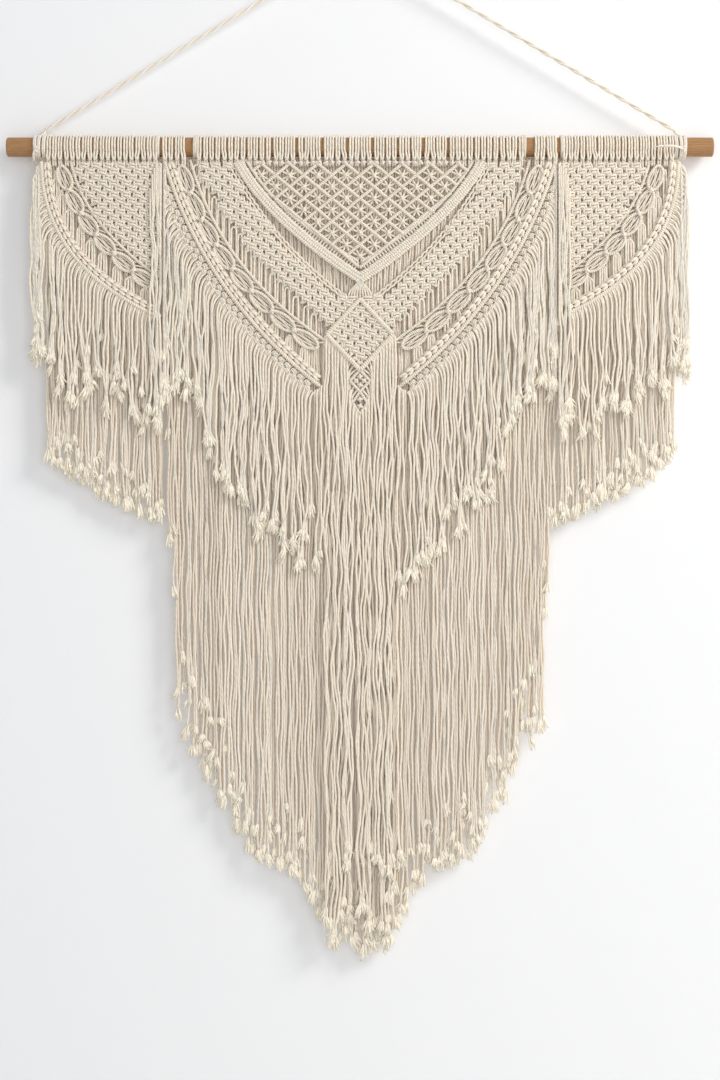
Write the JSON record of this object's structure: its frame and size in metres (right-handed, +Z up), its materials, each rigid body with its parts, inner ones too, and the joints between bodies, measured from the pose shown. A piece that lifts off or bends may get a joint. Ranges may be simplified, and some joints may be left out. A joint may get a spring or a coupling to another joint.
{
  "type": "macrame wall hanging",
  "caption": "Macrame wall hanging: knotted cotton panels and long layered fringe on a wooden dowel, hung from one nail by a cord tied at the dowel's ends.",
  "frame": {"origin": "where the top of the nail carries the hanging cord, under the cord's highest point", "axes": "+Z up along the hanging's length, -Y towards the room (the front), +Y towards the wall, +X right as seen from the front"},
  "size_m": [0.92, 0.037, 1.313],
  "materials": {
    "dowel": "light oak, lightly oiled",
    "hanging_cord": "twisted natural cotton",
    "cotton": "natural cotton string, matt",
    "back_cord": "natural cotton string, matt"
  },
  "bodies": {
    "root": {"dowel": "dowel", "hanging_cord": "hanging_cord", "left_hanger_knot": "hanging_cord", "right_hanger_knot": "hanging_cord"},
    "left_back": {"left_back_carrier": "back_cord", "left_back_curtain": "back_cord"},
    "left_front": {"left_larks_heads": "cotton", "left_knot_net": "cotton", "left_leaf_chain": "cotton", "left_arched_cords": "cotton", "left_border_braid": "cotton", "left_fringe": "cotton"},
    "centre_back": {"tail_carrier": "back_cord", "tail_curtain": "back_cord"},
    "centre_front": {"centre_larks_heads": "cotton", "flower_lattice": "cotton", "left_v_braid": "cotton", "right_v_braid": "cotton", "left_net_band": "cotton", "right_net_band": "cotton", "left_leaf_cords": "cotton", "right_leaf_cords": "cotton", "left_inner_leaf_chain": "cotton", "right_inner_leaf_chain": "cotton", "left_inner_arched_cords": "cotton", "right_inner_arched_cords": "cotton", "left_inner_border": "cotton", "right_inner_border": "cotton", "left_inner_fringe": "cotton", "right_inner_fringe": "cotton", "gathered_cords": "cotton", "centre_diamond": "cotton", "upper_small_diamond": "cotton", "lower_small_diamond": "cotton", "centre_long_fringe": "cotton"},
    "right_back": {"right_back_carrier": "back_cord", "right_back_curtain": "back_cord"},
    "right_front": {"right_larks_heads": "cotton", "right_knot_net": "cotton", "right_leaf_chain": "cotton", "right_arched_cords": "cotton", "right_border_braid": "cotton", "right_fringe": "cotton"}
  },
  "joints": [
    {"name": "left_back_swing", "type": "hinge", "parent": "root", "child": "left_back", "pos_m": [0, 0, -0.262], "axis": [-1, 0, 0], "range_deg": [0, 40]},
    {"name": "left_front_swing", "type": "hinge", "parent": "left_back", "child": "left_front", "pos_m": [0, 0, -0.262], "axis": [-1, 0, 0], "range_deg": [0, 40]},
    {"name": "centre_back_swing", "type": "hinge", "parent": "root", "child": "centre_back", "pos_m": [0, 0, -0.262], "axis": [-1, 0, 0], "range_deg": [0, 40]},
    {"name": "centre_front_swing", "type": "hinge", "parent": "centre_back", "child": "centre_front", "pos_m": [0, 0, -0.262], "axis": [-1, 0, 0], "range_deg": [0, 40]},
    {"name": "right_back_swing", "type": "hinge", "parent": "root", "child": "right_back", "pos_m": [0, 0, -0.262], "axis": [-1, 0, 0], "range_deg": [0, 40]},
    {"name": "right_front_swing", "type": "hinge", "parent": "right_back", "child": "right_front", "pos_m": [0, 0, -0.262], "axis": [-1, 0, 0], "range_deg": [0, 40]}
  ]
}
